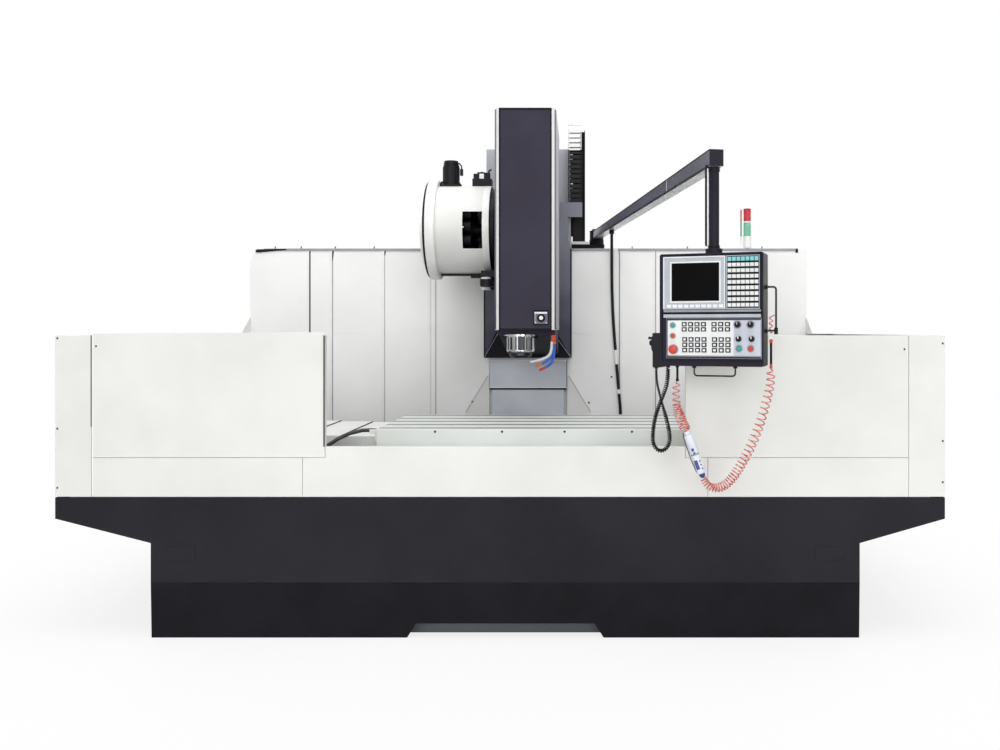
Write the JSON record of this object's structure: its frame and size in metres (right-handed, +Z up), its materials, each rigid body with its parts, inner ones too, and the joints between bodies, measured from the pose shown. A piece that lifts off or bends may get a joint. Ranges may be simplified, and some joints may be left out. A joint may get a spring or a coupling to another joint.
{
  "type": "cnc machining center",
  "caption": "Bed-type vertical machining centre with a low chip enclosure, a T-slot table on a cross slide, a drum tool magazine beside the head and a control pendant on a swinging boom.",
  "frame": {"origin": "foot of the spindle axis on the floor, in the underside of the bed", "axes": "+X from left to right along the table, +Y from the operator towards the column, +Z up along the spindle axis"},
  "size_m": [3.79, 2.8392, 2.5909],
  "materials": {
    "base_paint": "fine textured charcoal paint",
    "guard_paint": "satin off-white paint",
    "cast_paint": "dark grey casting paint",
    "column_paint": "satin light grey paint",
    "bed_paint": "grey casting paint",
    "rail_steel": "ground",
    "cover_steel": "fine brushed",
    "table_iron": "ground",
    "spindle_chrome": "polished",
    "drum_paint": "black paint",
    "cap_plastic": "light grey moulding",
    "black_plastic": "moulded",
    "pendant_paint": "dark satin paint",
    "fascia_paint": "light grey film",
    "screen_glass": "dark display",
    "key_plastic": "moulded",
    "red_plastic": "moulded",
    "green_plastic": "moulded",
    "wire_steel": "bright",
    "cord_rubber": "matt",
    "hose_plastic": "clear red polyurethane",
    "gun_plastic": "white and blue moulding",
    "nozzle_plastic": "blue moulding",
    "lens_plastic": "tinted lens"
  },
  "bodies": {
    "frame": {"base_front_panel": "base_paint", "base_skirt": "base_paint", "bed_casting": "bed_paint", "y_rails": "rail_steel", "y_drive": "rail_steel", "guard_front": "guard_paint", "guard_end_posts": "guard_paint", "guard_sides": "guard_paint", "guard_rear": "guard_paint", "column": "cast_paint", "z_rails": "rail_steel", "z_drive": "rail_steel", "z_cover_lower": "cover_steel", "column_shields": "guard_paint", "chain_guide": "drum_paint", "cable_chain": "black_plastic", "magazine_frame": "drum_paint", "magazine_cover": "guard_paint", "magazine_cap": "cap_plastic", "magazine_motor": "drum_paint", "change_arm": "drum_paint", "boom_bracket": "column_paint", "beacon_base": "cap_plastic", "beacon_lenses": "lens_plastic", "y_covers": "cover_steel", "boom_cable": "cord_rubber"},
    "magazine_disc": {"magazine_disc": "black_plastic"},
    "saddle": {"saddle": "cast_paint", "x_drive": "rail_steel", "x_covers": "cover_steel"},
    "table": {"table": "table_iron"},
    "head": {"head_casting": "cast_paint", "head_cover": "cast_paint", "spindle_cartridge": "spindle_chrome", "spindle_motor": "drum_paint", "z_cover_upper": "cover_steel", "coolant_nozzles": "nozzle_plastic", "tool_release_box": "wire_steel"},
    "spindle": {"spindle_nose": "spindle_chrome"},
    "tool_release_button": {"tool_release_button": "key_plastic"},
    "boom": {"boom_arm": "pendant_paint"},
    "pendant": {"pendant_housing": "pendant_paint", "pendant_fascia": "fascia_paint", "pendant_screen": "screen_glass", "pendant_keys": "key_plastic", "pendant_handles": "wire_steel", "handwheel_box": "black_plastic", "hose_leads": "cord_rubber", "hose_left": "hose_plastic", "hose_right": "hose_plastic", "air_gun": "gun_plastic", "coil_cord": "cord_rubber"},
    "handwheel": {"handwheel": "black_plastic"},
    "e_stop": {"e_stop": "red_plastic"},
    "cycle_start": {"cycle_start": "green_plastic"},
    "feed_hold": {"feed_hold": "red_plastic"},
    "power_on": {"power_on": "green_plastic"},
    "power_off": {"power_off": "red_plastic"},
    "feed_override_knob": {"feed_override_knob": "black_plastic"},
    "spindle_override_knob": {"spindle_override_knob": "black_plastic"}
  },
  "joints": [
    {"name": "y_axis", "type": "slide", "parent": "frame", "child": "saddle", "axis": [0, 1, 0], "range_m": [0, 0.7], "deforming": ["y_covers"]},
    {"name": "x_axis", "type": "slide", "parent": "saddle", "child": "table", "axis": [1, 0, 0], "range_m": [-0.788, 0.512], "deforming": ["x_covers"]},
    {"name": "z_axis", "type": "slide", "parent": "frame", "child": "head", "axis": [0, 0, 1], "range_m": [-0.19, 0.51], "deforming": ["cable_chain"]},
    {"name": "spindle_turn", "type": "hinge", "parent": "head", "child": "spindle", "pos_m": [0, 0, 1.2], "axis": [0, 0, 1], "continuous": true},
    {"name": "magazine_turn", "type": "hinge", "parent": "frame", "child": "magazine_disc", "pos_m": [-0.35, 0.3, 1.88], "axis": [1, 0, 0], "continuous": true},
    {"name": "boom_swivel", "type": "hinge", "parent": "frame", "child": "boom", "pos_m": [0.429, 1.25, 1.95], "axis": [0, 0, 1], "range_deg": [-13, 5]},
    {"name": "pendant_swivel", "type": "hinge", "parent": "boom", "child": "pendant", "pos_m": [0.8545, -1.305, 1.64], "axis": [0, 0, 1], "range_deg": [-10, 50]},
    {"name": "handwheel_turn", "type": "hinge", "parent": "pendant", "child": "handwheel", "pos_m": [0.62193, -1.22035, 1.258], "axis": [0.9397, -0.342, 0], "continuous": true},
    {"name": "tool_release_push", "type": "slide", "parent": "head", "child": "tool_release_button", "axis": [0, 1, 0], "range_m": [0, 0.003], "stiffness_N_per_m": 500},
    {"name": "e_stop_push", "type": "slide", "parent": "pendant", "child": "e_stop", "axis": [0.342, 0.9397, 0], "range_m": [0, 0.005], "stiffness_N_per_m": 500},
    {"name": "cycle_start_push", "type": "slide", "parent": "pendant", "child": "cycle_start", "axis": [0.342, 0.9397, 0], "range_m": [0, 0.004], "stiffness_N_per_m": 500},
    {"name": "feed_hold_push", "type": "slide", "parent": "pendant", "child": "feed_hold", "axis": [0.342, 0.9397, 0], "range_m": [0, 0.004], "stiffness_N_per_m": 500},
    {"name": "power_on_push", "type": "slide", "parent": "pendant", "child": "power_on", "axis": [0.342, 0.9397, 0], "range_m": [0, 0.004], "stiffness_N_per_m": 500},
    {"name": "power_off_push", "type": "slide", "parent": "pendant", "child": "power_off", "axis": [0.342, 0.9397, 0], "range_m": [0, 0.004], "stiffness_N_per_m": 500},
    {"name": "feed_override_knob_turn", "type": "hinge", "parent": "pendant", "child": "feed_override_knob", "pos_m": [0.93436, -1.3926, 1.334], "axis": [0.342, 0.9397, 0], "range_deg": [-135, 135]},
    {"name": "spindle_override_knob_turn", "type": "hinge", "parent": "pendant", "child": "spindle_override_knob", "pos_m": [0.98228, -1.41004, 1.334], "axis": [0.342, 0.9397, 0], "range_deg": [-135, 135]}
  ]
}
